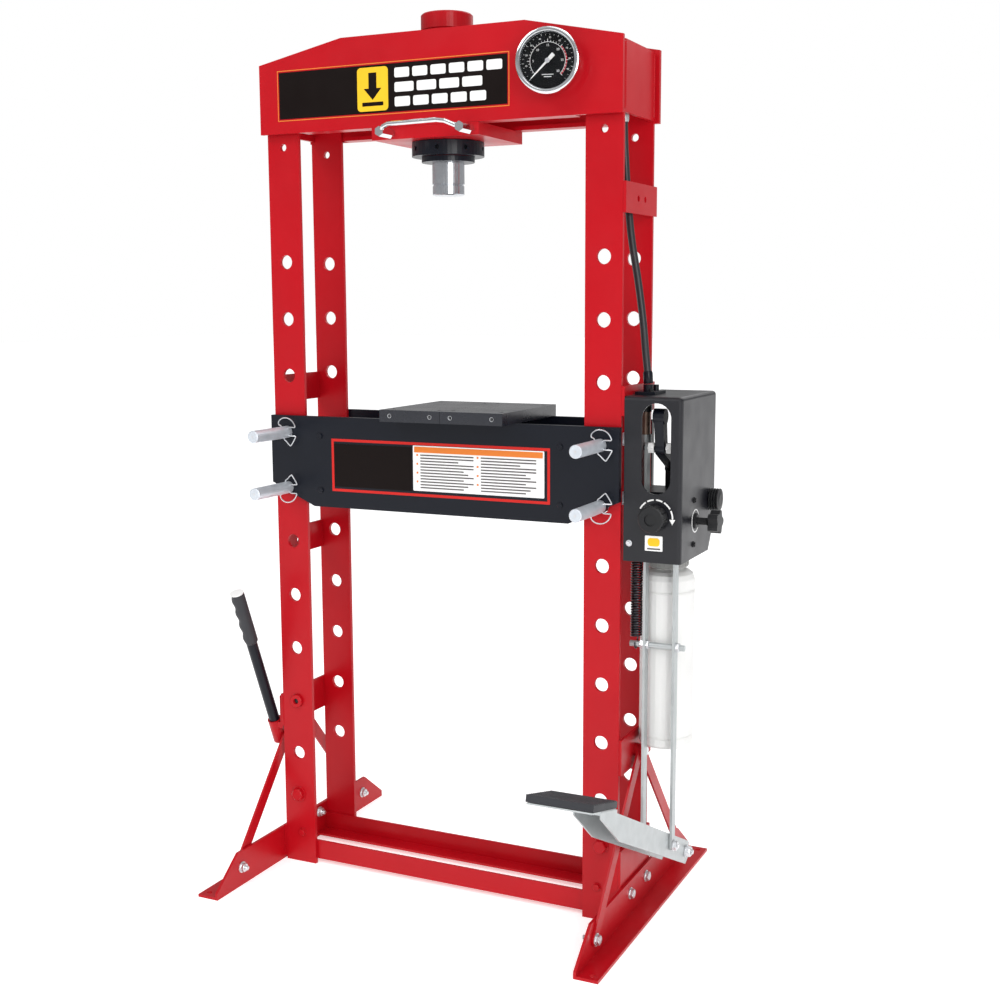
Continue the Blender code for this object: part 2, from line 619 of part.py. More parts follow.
def hose():
    """The pressure hose from the pump up into the head."""
    stops = [
        (0.424, 0.060, 1.0725), (0.4225, 0.060, 1.092), (0.418, 0.060, 1.130), (0.412, 0.060, 1.190),
        (0.402, 0.060, 1.261), (0.3885, 0.060, 1.338), (0.3815, 0.060, 1.395), (0.3765, 0.060, 1.450),
        (0.3715, 0.060, 1.530), (0.370, 0.060, 1.588),
    ]
    route = bpy.data.curves.new("hydraulic_hose", "CURVE")
    route.dimensions = "3D"
    route.bevel_depth = 0.007
    route.bevel_resolution = 2
    route.use_fill_caps = True
    route.twist_mode = "MINIMUM"
    points = smooth_route(stops, 5)
    spline = route.splines.new("POLY")
    spline.points.add(len(points) - 1)
    for target, point in zip(spline.points, points):
        target.co = (*(Vector(point) + SHIFT), 1.0)
    made = bpy.data.objects.new("hydraulic_hose", route)
    made.data.materials.append(material_of("rubber"))
    bpy.context.scene.collection.objects.link(made)
    plate = box((0.404, 0.444), (0.040, 0.105), (1.0523, 1.0580))
    collar = rod((0.424, 0.060, 1.0560), (0.424, 0.060, 1.0710), 0.0095, 20)
    fitting = rod((0.428, 0.094, 1.0560), (0.428, 0.094, 1.0690), 0.0055, 12)
    node("hose_flange", "black_paint", plate, [collar, fitting])
    ferrule = rod((0.370, 0.060, 1.5883), (0.370, 0.060, 1.625), 0.0095, 20)
    stub = rod((0.368, 0.060, 1.614), (0.3832, 0.060, 1.614), 0.0080, 20)
    node("hose_elbow", "zinc", ferrule, [stub])


def hand_lever():
    """A loose lever that stands in a tube on the left side."""
    bore = LEVER_RADIUS + RUN
    plate = box((-0.4038, -0.3981), (0.004, 0.040), (0.298, 0.372))
    web = box((-0.4125, -0.4030), (0.005, 0.024), (0.298, 0.311))
    holder = node("lever_holder", "red_paint", plate, [web])
    tube = turned(LEVER_START, LEVER_AXIS, [(0.0, 0.0148), (0.056, 0.0148)], 24)
    join(holder, mesh_object("lever_holder.tube", [tube], Vector()), "UNION")
    hollow = turned(LEVER_START, LEVER_AXIS, [(0.004, bore), (0.070, bore)], 24)
    join(holder, mesh_object("lever_holder.bore", [hollow], Vector()), "DIFFERENCE")
    origin = tuple(Vector(LEVER_START) + 0.0043 * Vector(LEVER_AXIS))
    inner = LEVER_RADIUS - 0.0028
    lever = [(0.0043, inner), (0.0043, LEVER_RADIUS), (0.387, LEVER_RADIUS), (0.387, inner)]
    node("hand_lever", "black_paint", turned(LEVER_START, LEVER_AXIS, lever, 24, ring=True), origin=origin)
    inside = LEVER_RADIUS + 0.0002
    grip = [(0.262, inside), (0.262, 0.0138), (0.265, 0.0152), (0.385, 0.0152), (0.388, 0.0140), (0.388, inside)]
    node("lever_grip", "rubber", turned(LEVER_START, LEVER_AXIS, grip, 24, ring=True), origin=origin)


frame()
head()
work_cylinder()
gauge()
bed()
pump()
pedal()
pump_link()
hose()
hand_lever()
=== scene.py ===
"""The looks of the hydraulic shop press: materials, fasteners, clips, dial, labels, hose and light."""

import math

import bmesh
import bpy
from mathutils import Matrix, Vector


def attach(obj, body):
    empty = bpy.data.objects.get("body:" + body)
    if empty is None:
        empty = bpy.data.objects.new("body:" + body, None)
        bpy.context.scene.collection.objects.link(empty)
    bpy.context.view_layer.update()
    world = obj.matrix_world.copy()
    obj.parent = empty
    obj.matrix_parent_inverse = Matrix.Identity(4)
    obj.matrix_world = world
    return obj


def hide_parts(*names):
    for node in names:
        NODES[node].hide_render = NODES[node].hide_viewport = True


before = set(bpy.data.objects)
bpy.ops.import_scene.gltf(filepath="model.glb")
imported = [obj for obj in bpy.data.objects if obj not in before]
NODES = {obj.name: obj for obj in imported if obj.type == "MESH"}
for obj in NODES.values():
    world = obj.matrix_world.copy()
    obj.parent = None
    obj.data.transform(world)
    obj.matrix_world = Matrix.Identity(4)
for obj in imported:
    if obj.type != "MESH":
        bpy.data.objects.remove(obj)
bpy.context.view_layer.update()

# Places are in press coordinates, as in the CAD source: X = 0 between the uprights, Y = 0 at their front.
# The gauge's prints lie between PRINT_BACK and PRINT_FRONT, measured out from the back of its case.
SHIFT = Vector((-0.0575, -0.0255, 0.0))
PIN_X = 0.354
PIN_Z = (0.958, 0.840)
GAUGE_BACK = Vector((0.259, -0.032, 1.664))
GAUGE_TURN = math.radians(12)
GAUGE_OUT = Vector((math.sin(GAUGE_TURN), -math.cos(GAUGE_TURN), 0.0))
GAUGE_RIGHT = Vector((math.cos(GAUGE_TURN), math.sin(GAUGE_TURN), 0.0))
UP = Vector((0.0, 0.0, 1.0))
RIGHT = Vector((1.0, 0.0, 0.0))
LEFT = Vector((-1.0, 0.0, 0.0))
FRONT = Vector((0.0, -1.0, 0.0))
BED_FACE_Y = -0.0135
HEAD_FACE_Y = -0.018
HOUSING_FACE_Y = -0.002
PRINT_BACK = 0.02605
PRINT_FRONT = 0.02625
BOLT_ACROSS = 0.017
PEDAL_PIVOT = (0.140, 0.116)
PEDAL_LINK = (0.040, 0.166)
ROCKER_LINK = (0.040, 0.952)
CROSS_PIN = (0.040, 0.566)
LEVER_START = Vector((-0.424, 0.0322, 0.262))
LEVER_AXIS = Vector((0.0, -0.372, 0.928)).normalized()


# ---------------------------------------------------------------- camera


def camera():
    """A 50 mm view from the front right, a little above the middle of the press."""
    yaw = math.radians(-25.30)
    pitch = math.radians(8.23)
    roll = math.radians(-0.25)
    data = bpy.data.cameras.new("camera")
    data.sensor_width = 36.0
    data.lens = 36.0 * 1.382
    data.clip_end = 60.0
    eye = bpy.data.objects.new("camera", data)
    turn = Matrix.Rotation(-yaw, 3, "Z") @ Matrix.Rotation(-pitch, 3, "X") @ Matrix.Rotation(-roll, 3, "Y")
    right = turn @ Vector((1, 0, 0))
    ahead = turn @ Vector((0, 1, 0))
    up = turn @ Vector((0, 0, 1))
    axes = Matrix((right, up, -ahead)).transposed()
    eye.matrix_world = Matrix.Translation(Vector((1.298, -2.4556, 1.2318)) + SHIFT) @ axes.to_4x4()
    bpy.context.scene.collection.objects.link(eye)
    bpy.context.scene.camera = eye


# ---------------------------------------------------------------- materials


def shader(name, **sockets):
    """A material with these values on its Principled BSDF, returned with its node tree and that shader."""
    made = bpy.data.materials.new(name)
    made.use_nodes = True
    tree = made.node_tree
    main = tree.nodes["Principled BSDF"]
    for key, value in sockets.items():
        main.inputs[key.replace("_", " ")].default_value = value
    return made, tree, main


def noise(tree, scale, detail=3.0, stretch=(1, 1, 1)):
    """A noise texture on the object's own coordinates, in metres."""
    coords = tree.nodes.new("ShaderNodeTexCoord")
    mapping = tree.nodes.new("ShaderNodeMapping")
    mapping.inputs["Scale"].default_value = stretch
    texture = tree.nodes.new("ShaderNodeTexNoise")
    texture.inputs["Scale"].default_value = scale
    texture.inputs["Detail"].default_value = detail
    tree.links.new(coords.outputs["Object"], mapping.inputs["Vector"])
    tree.links.new(mapping.outputs["Vector"], texture.inputs["Vector"])
    return texture.outputs["Fac"]


def vary_colour(tree, main, colour, spread, fac):
    """The base colour wanders a little darker and lighter."""
    ramp = tree.nodes.new("ShaderNodeValToRGB")
    ramp.color_ramp.elements[0].position = 0.3
    ramp.color_ramp.elements[1].position = 0.7
    ramp.color_ramp.elements[0].color = (*(c * (1 - spread) for c in colour), 1)
    ramp.color_ramp.elements[1].color = (*(min(1, c * (1 + spread)) for c in colour), 1)
    tree.links.new(fac, ramp.inputs["Fac"])
    tree.links.new(ramp.outputs["Color"], main.inputs["Base Color"])


def vary_roughness(tree, main, low, high, fac):
    spread = tree.nodes.new("ShaderNodeMapRange")
    spread.inputs["From Min"].default_value = 0.3
    spread.inputs["From Max"].default_value = 0.7
    spread.inputs["To Min"].default_value = low
    spread.inputs["To Max"].default_value = high
    tree.links.new(fac, spread.inputs["Value"])
    tree.links.new(spread.outputs["Result"], main.inputs["Roughness"])


def bumps(tree, main, fac, strength, depth):
    bump = tree.nodes.new("ShaderNodeBump")
    bump.inputs["Strength"].default_value = strength
    bump.inputs["Distance"].default_value = depth
    tree.links.new(fac, bump.inputs["Height"])
    tree.links.new(bump.outputs["Normal"], main.inputs["Normal"])


def paint(
    name, colour, low, high, peel=700, strength=0.25, depth=0.0002, coat=0.0, spread=0.06, gloss=0.35
):
    """Powder coat: a little orange peel, and gloss that wanders."""
    made, tree, main = shader(name, Coat_Weight=coat, Coat_Roughness=0.12, Specular_IOR_Level=gloss)
    vary_colour(tree, main, colour, spread, noise(tree, 5.0))
    vary_roughness(tree, main, low, high, noise(tree, 18.0, 5.0))
    bumps(tree, main, noise(tree, peel, 2.0), strength, depth)
    return made


def metal(
    name, colour, low, high, grain=(1, 1, 1), scale=60, strength=0.1, depth=0.0002, spread=0.08, bare=1.0
):
    """Bare or plated metal with a fine grain. A dull plating is only partly bare metal."""
    made, tree, main = shader(name, Metallic=bare)
    vary_colour(tree, main, colour, spread, noise(tree, 40.0, 4.0))
    vary_roughness(tree, main, low, high, noise(tree, scale, 4.0, grain))
    bumps(tree, main, noise(tree, scale * 6, 2.0, grain), strength, depth)
    return made


def translucent(name):
    """Milky moulded plastic that lets some light through."""
    made, tree, main = shader(
        name, Subsurface_Weight=0.35, Subsurface_Scale=0.02, Transmission_Weight=0.06, IOR=1.5
    )
    main.inputs["Subsurface Radius"].default_value = (1.0, 1.0, 1.0)
    vary_colour(tree, main, (0.92, 0.92, 0.90), 0.03, noise(tree, 8.0))
    vary_roughness(tree, main, 0.32, 0.45, noise(tree, 30.0))
    bumps(tree, main, noise(tree, 500.0), 0.1, 0.0003)
    return made


def glass(name):
    made, tree, main = shader(name, Base_Color=(0.97, 0.98, 0.98, 1), Transmission_Weight=1.0, IOR=1.12)
    vary_roughness(tree, main, 0.0, 0.03, noise(tree, 30.0))
    return made


MATERIALS = {
    "red": paint(
        "red_powder_coat", (0.435, 0.0032, 0.0088), 0.28, 0.40, strength=0.08, coat=0.02, gloss=0.20
    ),
    "black": paint(
        "black_powder_coat", (0.0036, 0.0050, 0.0100), 0.30, 0.36, peel=900, strength=0.15, gloss=0.26
    ),
    "plate": paint(
        "plate_black_coat", (0.0075, 0.0090, 0.0150), 0.24, 0.30,
        peel=900, strength=0.1, gloss=0.6, coat=0.15,
    ),
    "housing": paint(
        "textured_black_coat", (0.0058, 0.0060, 0.0092), 0.30, 0.38, peel=1300, strength=0.3, gloss=0.45
    ),
    "plastic": paint(
        "black_plastic_moulded", (0.0085, 0.0088, 0.0100), 0.36, 0.52, peel=1600, strength=0.2
    ),
    "rubber": paint(
        "black_rubber_matt", (0.022, 0.023, 0.028), 0.50, 0.70, peel=1200, strength=0.3, gloss=0.5
    ),
    "hose": paint("hose_rubber", (0.014, 0.014, 0.017), 0.36, 0.50, peel=1500, strength=0.25, gloss=0.5),
    "zinc": metal("zinc_plate", (0.44, 0.465, 0.47), 0.34, 0.46, spread=0.05, bare=0.55),
    "pin": metal("pin_zinc", (0.62, 0.66, 0.71), 0.36, 0.52, grain=(1, 0.08, 1), scale=220, bare=0.45),
    "chrome": metal("polished_chrome", (0.72, 0.74, 0.76), 0.08, 0.17, spread=0.03, strength=0.03),
    "ram": metal(
        "ground_ram", (0.52, 0.54, 0.57), 0.16, 0.28, grain=(1, 1, 0.05), scale=160, spread=0.05
    ),
    "steel": metal("fastener_steel", (0.66, 0.67, 0.69), 0.24, 0.40, bare=0.8),
    "coil": metal("spring_wire", (0.055, 0.055, 0.062), 0.26, 0.36),
    "bronze": metal("bronze_barrel", (0.25, 0.17, 0.13), 0.3, 0.5, bare=0.7),
    "bottle": translucent("milky_plastic"),
    "glass": glass("gauge_glass_clear"),
    "dial": paint("dial_black", (0.0035, 0.0040, 0.0055), 0.5, 0.65, peel=300, strength=0.03, gloss=0.15),
    "white": paint("white_print", (0.84, 0.84, 0.83), 0.4, 0.55, peel=900, strength=0.04, spread=0.03),
    "dial_red": paint("red_print", (0.62, 0.03, 0.05), 0.4, 0.55, peel=900, strength=0.04),
    "panel": paint(
        "decal_black", (0.0055, 0.0026, 0.0022), 0.34, 0.44, peel=500, strength=0.04, gloss=0.12
    ),
    "yellow": paint("decal_yellow", (0.84, 0.52, 0.022), 0.3, 0.42, peel=500, strength=0.04, gloss=0.2),
    "orange": paint("decal_orange", (0.72, 0.20, 0.035), 0.3, 0.42, peel=500, strength=0.04, gloss=0.2),
    "trim": paint("decal_red", (0.56, 0.018, 0.014), 0.3, 0.42, peel=500, strength=0.04, gloss=0.2),
    "ink": paint("ink_grey", (0.10, 0.09, 0.09), 0.4, 0.55, peel=500, strength=0.03),
    "grey": paint("grey_plastic_ring", (0.30, 0.30, 0.29), 0.4, 0.55, peel=900, strength=0.2),
}


# ---------------------------------------------------------------- shapes


def circle(radius, sides):
    steps = [2 * math.pi * (k + 0.5) / sides for k in range(sides)]
    return [(radius * math.cos(a), radius * math.sin(a)) for a in steps]


def basis(direction):
    return Vector(direction).normalized().to_track_quat("Z", "Y").to_matrix()


def joined(rows, sides, closed):
    """The faces between rows of points. An open stack of rows is capped at both ends."""
    faces = []
    for i in range(rows if closed else rows - 1):
        low = i * sides
        high = ((i + 1) % rows) * sides
        for k in range(sides):
            n = (k + 1) % sides
            faces.append((low + k, low + n, high + n, high + k))
    if not closed:
        faces.append(tuple(reversed(range(sides))))
        faces.append(tuple((rows - 1) * sides + k for k in range(sides)))
    return faces


def turned(start, direction, profile, sides=32, ring=False):
    """A profile of (distance, radius) turned about a line. A ring profile closes on itself."""
    spin = basis(direction)
    verts = []
    for along, radius in profile:
        verts += [tuple(Vector(start) + spin @ Vector((u, v, along))) for u, v in circle(radius, sides)]
    return verts, joined(len(profile), sides, ring)


def slab(origin, right, up, out, outline, low, high):
    """A flat shape drawn in the plane of right and up, and given a thickness along out."""
    count = len(outline)
    verts = []
    for level in (low, high):
        verts += [tuple(Vector(origin) + u * right + v * up + level * out) for u, v in outline]
    faces = [tuple(reversed(range(count))), tuple(range(count, 2 * count))]
    faces += [(k, (k + 1) % count, (k + 1) % count + count, k + count) for k in range(count)]
    return verts, faces


def swept(points, radius, sides=10, closed=False):
    """A round wire along a line of points, with one radius or a radius for each point."""
    line = [Vector(p) for p in points]
    count = len(line)
    heading = (line[1] - line[0]).normalized()
    side = heading.orthogonal().normalized()
    verts = []
    for i, point in enumerate(line):
        if closed:
            ahead = line[(i + 1) % count] - line[i - 1]
        else:
            ahead = line[min(i + 1, count - 1)] - line[max(i - 1, 0)]
        ahead.normalize()
        side = (heading.rotation_difference(ahead) @ side).normalized()
        heading = ahead
        up = heading.cross(side)
        wide = radius[i] if isinstance(radius, list) else radius
        for k in range(sides):
            a = 2 * math.pi * k / sides
            verts.append(tuple(point + wide * (math.cos(a) * side + math.sin(a) * up)))
    return verts, joined(count, sides, closed)


def smooth_route(stops, steps, closed=False):
    """Points along a smooth curve through the stops."""
    line = [Vector(s) for s in stops]
    if closed:
        line = [line[-1], *line, line[0], line[1]]
    else:
        line = [2 * line[0] - line[1], *line, 2 * line[-1] - line[-2]]
    points = []
    for i in range(1, len(line) - 2):
        a, b, c, d = line[i - 1], line[i], line[i + 1], line[i + 2]
        for k in range(steps):
            t = k / steps
            bend = (2 * a - 5 * b + 4 * c - d) * t * t
            points.append(0.5 * (2 * b + (c - a) * t + bend + (3 * b - a - 3 * c + d) * t**3))
    if not closed:
        points.append(line[-2])
    return points


def rounded(width, height, radius, steps=5):
    """The outline of a rectangle with round corners, centred on the origin."""
    points = []
    for cx, cy, first in ((1, 1, 0), (-1, 1, 90), (-1, -1, 180), (1, -1, 270)):
        for k in range(steps + 1):
            a = math.radians(first + 90 * k / steps)
            u = cx * (width / 2 - radius) + radius * math.cos(a)
            v = cy * (height / 2 - radius) + radius * math.sin(a)
            points.append((u, v))
    return points


def soften(obj, angle=35):
    """Smooth shading, with sharp edges kept sharp."""
    for face in obj.data.polygons:
        face.use_smooth = True
    obj.data.set_sharp_from_angle(angle=math.radians(angle))


def piece(name, body, material, *shapes, bevel=0.0, slot=None):
    """One visible piece made of closed shapes in press coordinates, riding on a CAD body."""
    mesh = bpy.data.meshes.new(name)
    verts = []
    faces = []
    for shape_verts, shape_faces in shapes:
        first = len(verts)
        verts += [tuple(Vector(v) + SHIFT) for v in shape_verts]
        faces += [tuple(first + k for k in f) for f in shape_faces]
    mesh.from_pydata(verts, [], faces)
    work = bmesh.new()
    work.from_mesh(mesh)
    bmesh.ops.recalc_face_normals(work, faces=work.faces)
    work.to_mesh(mesh)
    work.free()
    made = bpy.data.objects.new(name, mesh)
    bpy.context.scene.collection.objects.link(made)
    made.data.materials.append(MATERIALS[material])
    if bevel:
        round_edges(made, bevel)
    soften(made)
    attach(made, body)
    return made


def round_edges(obj, width, segments=2):
    modifier = obj.modifiers.new("rounded_edges", "BEVEL")
    modifier.width = width
    modifier.segments = segments
    modifier.limit_method = "ANGLE"
    modifier.angle_limit = math.radians(38)
    modifier.harden_normals = True


# ---------------------------------------------------------------- the CAD nodes' finish


FINISH = {
    "plate": ("press_plate",),
    "black": ("bed_front_beam", "bed_rear_beam", "bed_spacer", "ring_nut", "pump_rocker", "hose_flange"),
    "housing": ("pump_housing", "pump_block"),
    "plastic": ("air_inlet", "release_knob", "valve_knob"),
    "rubber": ("pedal_pad", "lever_grip"),
    "zinc": ("pedal_bracket", "foot_pedal", "pump_link", "hose_elbow"),
    "pin": ("bed_pin",),
    "chrome": ("carriage_handle", "gauge_case"),
    "ram": ("ram",),
    "white": ("gauge_needle",),
    "bottle": ("oil_reservoir",),
}
FINE_EDGES = {"gauge_needle": 0.0002, "pump_housing": 0.0008, "pedal_pad": 0.0007, "pump_link": 0.0006}
NO_EDGES = ("return_spring", "hydraulic_hose", "air_motor")


def finish_nodes():
    """Every CAD node gets its material and smooth shading, and all but those in NO_EDGES get small rounded
    edges.
    """
    for name, node in NODES.items():
        chosen = "red"
        for finish, starts in FINISH.items():
            if name.startswith(starts):
                chosen = finish
        if name == "hand_lever":
            chosen = "black"
        node.data.materials.clear()
        node.data.materials.append(MATERIALS[chosen])
        soften(node)
        if name not in NO_EDGES:
            round_edges(node, FINE_EDGES.get(name, 0.0009))


def air_motor():
    """The plated rod, the bronze barrel and the black head of the air motor."""
    node = NODES["air_motor"]
    node.data.materials.clear()
    for material in ("zinc", "bronze", "plastic"):
        node.data.materials.append(MATERIALS[material])
    for face in node.data.polygons:
        height = face.center.z
        face.material_index = 0 if height < 0.975 else 1 if height < 1.0175 else 2


def cylinder_nose():
    """The cylinder's end below the ring nut is blacked, like the nut."""
    node = NODES["cylinder_body"]
    node.data.materials.append(MATERIALS["black"])
    for face in node.data.polygons:
        if face.center.z < 1.530:
            face.material_index = 1


# ---------------------------------------------------------------- fasteners


def hex_head(centre, direction, across, height, washer=0.0, stud=0.0):
    """A hexagon head or nut with its washer, and the end of a thread where it is a nut."""
    spin = basis(direction)
    start = Vector(centre)
    shapes = []
    level = 0.0
    if washer:
        profile = [(0.0, washer), (0.0016, washer), (0.0020, washer - 0.0005)]
        shapes.append(turned(start, direction, profile, 28))
        level = 0.0018
    corner = across / 2 / math.cos(math.radians(30))
    sides = 24
    verts = []
    rows = ((level, 1.0), (level + height * 0.86, 1.0), (level + height, 0.90))
    for along, share in rows:
        for k in range(sides):
            a = 2 * math.pi * k / sides
            reach = across / 2 / math.cos((a % (math.pi / 3)) - math.pi / 6)
            if share < 1:
                reach = min(reach, corner * 0.93) * share
            verts.append(tuple(start + spin @ Vector((reach * math.cos(a), reach * math.sin(a), along))))
    shapes.append((verts, joined(len(rows), sides, False)))
    if stud:
        top = level + height
        rim = across * 0.27
        pitch = 0.0012
        profile = [(top - 0.001, rim)]
        for k in range(int(stud / pitch)):
            profile += [(top + pitch * k + 0.0003, rim), (top + pitch * k + 0.0009, rim * 0.88)]
        profile.append((top + stud, rim * 0.8))
        shapes.append(turned(start, direction, profile, 20))
    return shapes


def fasteners():
    for side, word in ((1, "right"), (-1, "left")):
        out = (side, 0, 0)
        inward = (-side, 0, 0)
        heads = []
        nuts = []
        for y in (0.040, 0.134):
            heads += hex_head((side * 0.4041, y, 0.050), out, BOLT_ACROSS, 0.007, 0.012)
            nuts += hex_head((side * 0.3918, y, 0.062), inward, BOLT_ACROSS, 0.008, 0.012, 0.006)
        piece(f"foot_bolts_{word}", "frame", "steel", *heads, *nuts)
        ends = []
        for face, y, z in ((0.4089, -0.160, 0.040), (0.4137, 0.336, 0.040), (0.4137, 0.083, 0.336)):
            ends += hex_head((side * face, y, z), out, BOLT_ACROSS, 0.007, 0.0125)
        for y in (-0.160, 0.336):
            ends += hex_head((side * 0.3981, y, 0.040), inward, BOLT_ACROSS, 0.008, 0.012, 0.006)
        ends.append(turned((side * 0.4041, 0.336, 0.040), out, [(0.0, 0.008), (0.0051, 0.008)], 20))
        piece(f"brace_bolts_{word}", "frame", "steel", *ends)
        painted = []
        for y, facing in ((0.0, -1), (0.174, 1)):
            painted += hex_head((side * 0.356, y, 0.156), (0, facing, 0), 0.024, 0.009, 0.0165)
            painted += hex_head((side * 0.348, y, 0.069), (0, facing, 0), 0.013, 0.005, 0.009)
        piece(f"upright_bolts_{word}", "frame", "red", *painted)
        small = []
        for z in (0.838, 0.952):
            for y, facing in ((BED_FACE_Y, -1), (0.1875, 1)):
                small += hex_head((side * 0.272, y, z), (0, facing, 0), 0.010, 0.0035)
        piece(f"bed_bolts_{word}", "frame", "black", *small)
    middle = (-PIN_X, 0.0, 0.368)
    head = [(-0.006, 0.0140), (0.0065, 0.0140), (0.0080, 0.0125), (0.0080, 0.0065), (0.0030, 0.0060)]
    piece("lever_holder_bolt", "frame", "red", turned(middle, FRONT, head, 36))
    # The hex socket is drawn as a black hexagon at the bottom of the head's round recess: painted shade
    # standing in for the dark inside of the socket.
    socket = turned(middle, FRONT, [(0.002, 0.0063), (0.0034, 0.0063)], 6)
    piece("lever_holder_socket_shade", "frame", "plastic", socket)
    linkage_nuts()
    housing_screws()


def linkage_nuts():
    y, z = PEDAL_PIVOT
    nuts = hex_head((0.4875, y, z), RIGHT, 0.019, 0.0100, 0.0125, 0.004)
    piece("pedal_pivot_nuts", "frame", "steel", *nuts)
    y, z = PEDAL_LINK
    nuts = hex_head((0.4935, y, z), RIGHT, BOLT_ACROSS, 0.0065, 0.0110, 0.0030)
    head = hex_head((0.4275, y, z), LEFT, BOLT_ACROSS, 0.006, 0.0110)
    piece("pedal_link_nuts", "pedal", "steel", *nuts, *head)
    y, z = CROSS_PIN
    nuts = hex_head((0.4932, y, z), RIGHT, 0.016, 0.0075)
    nuts += hex_head((0.4278, y, z), LEFT, 0.016, 0.0075)
    nuts += hex_head((0.4332, y, z), RIGHT, 0.016, 0.0055)
    piece("cross_pin_nuts", "link", "steel", *nuts)
    y, z = ROCKER_LINK
    spacers = hex_head((0.4340, y, z), RIGHT, 0.019, 0.0120)
    spacers += hex_head((0.4700, y, z), RIGHT, 0.019, 0.0160)
    piece("rocker_spacers", "rocker", "white", *spacers)


def housing_screws():
    screws = hex_head((0.5125, 0.079, 0.850), RIGHT, 0.008, 0.0030, 0.0060)
    screws += hex_head((0.5125, 0.077, 0.764), RIGHT, 0.008, 0.0030, 0.0060)
    piece("housing_side_screws", "frame", "plastic", *screws)
    front = hex_head((0.410, HOUSING_FACE_Y, 0.772), FRONT, 0.008, 0.0034, 0.0062)
    piece("housing_front_screw", "frame", "steel", *front)
    flange = hex_head((0.4355, 0.046, 1.0580), UP, 0.007, 0.0035, 0.0050)
    piece("hose_flange_screw", "frame", "plastic", *flange)


# ---------------------------------------------------------------- bed


def pin_clips():
    """A wire clip through each bed pin: a half-round loop on one side and a square loop on the other."""
    loop = [
        (-0.0085, 0.0135), (-0.0135, 0.0165), (-0.0120, 0.0235), (-0.0020, 0.0300), (0.0110, 0.0300),
        (0.0210, 0.0240), (0.0265, 0.0145), (0.0250, 0.0110), (0.0120, 0.0105), (0.0060, 0.0040),
        (0.0060, -0.0040), (0.0120, -0.0070), (0.0250, -0.0075), (0.0275, -0.0100), (0.0180, -0.0260),
        (0.0140, -0.0270), (0.0050, -0.0190), (0.0000, -0.0150), (-0.0030, -0.0050), (-0.0040, 0.0040),
    ]
    for row, z in (("upper", PIN_Z[0]), ("lower", PIN_Z[1])):
        for word, side in (("left", -1), ("right", 1)):
            flip = 1 if row == "upper" else -1
            stops = [(side * PIN_X + u, -0.022 - 0.10 * abs(v), z + flip * v) for u, v in loop]
            wire = swept(smooth_route(stops, 4, closed=True), 0.00125, 8, closed=True)
            piece(f"pin_clip_{row}_{word}", f"pin_{row}_{word}", "steel", wire)
            start = (side * PIN_X, -0.138, z)
            mark = turned(start, FRONT, [(-0.001, 0.0026), (0.0004, 0.0026), (0.0004, 0.0012)], 16)
            piece(f"pin_centre_{row}_{word}", f"pin_{row}_{word}", "steel", mark)


def plate_threads():
    """The bright threads of the tapped holes in the front edges of the press plates."""
    core, rim = 0.0032, 0.00425
    profile = [(-0.0100, core), (-0.0100, rim), (0.0, rim), (0.0, 0.0036), (-0.0012, core)]
    for word, middle in (("left", -0.0245), ("right", 0.1105)):
        rings = []
        for side in (-1, 1):
            start = (middle + side * 0.045, -0.0752, 1.0053)
            rings.append(turned(start, FRONT, profile, 20, ring=True))
        piece(f"plate_threads_{word}", f"plate_{word}", "steel", *rings)


def flat(x, z, width, height, y, thickness=0.0003, radius=0.0):
    """A thin label facing the front."""
    u, v = width / 2, height / 2
    outline = rounded(width, height, radius) if radius else [(u, v), (-u, v), (-u, -v), (u, -v)]
    return slab((x, y, z), RIGHT, UP, FRONT, outline, 0.00002, thickness)


def border(x, z, width, height, y, wide, thickness):
    """A thin frame round a panel, as four strips."""
    strips = []
    between = height - 2 * wide - 0.0001
    for side in (-1, 1):
        strips.append(flat(x, z + side * (height - wide) / 2, width, wide, y, thickness))
        strips.append(flat(x + side * (width - wide) / 2, z, wide, between, y, thickness))
    return strips


def bed_labels():
    y = BED_FACE_Y
    piece("bed_panel", "frame", "panel", flat(-0.1475, 0.893, 0.187, 0.090, y, 0.00030))
    piece("bed_panel_border", "frame", "trim", *border(0.0035, 0.893, 0.495, 0.110, y, 0.0055, 0.00032))
    piece("bed_notice", "frame", "white", flat(0.094, 0.8955, 0.290, 0.092, y, 0.00030, 0.002))
    piece("bed_notice_head", "frame", "orange", flat(0.094, 0.9335, 0.284, 0.012, y, 0.00050, 0.001))
    lines = []
    for column in (0.026, 0.162):
        for k in range(12):
            width = 0.120 - 0.022 * ((k * 5) % 3 == 1) - 0.012 * (k % 4 == 2)
            z = 0.9225 - 0.0060 * k
            lines.append(flat(column + (width - 0.120) / 2, z, width, 0.0027, y, 0.00050))
    piece("bed_notice_lines", "frame", "ink", *lines)
    dots = []
    for column in (-0.041, 0.095):
        dots += [flat(column, 0.9225 - 0.0180 * k, 0.0042, 0.0042, y, 0.00052, 0.0012) for k in range(4)]
    piece("bed_notice_marks", "frame", "orange", *dots)


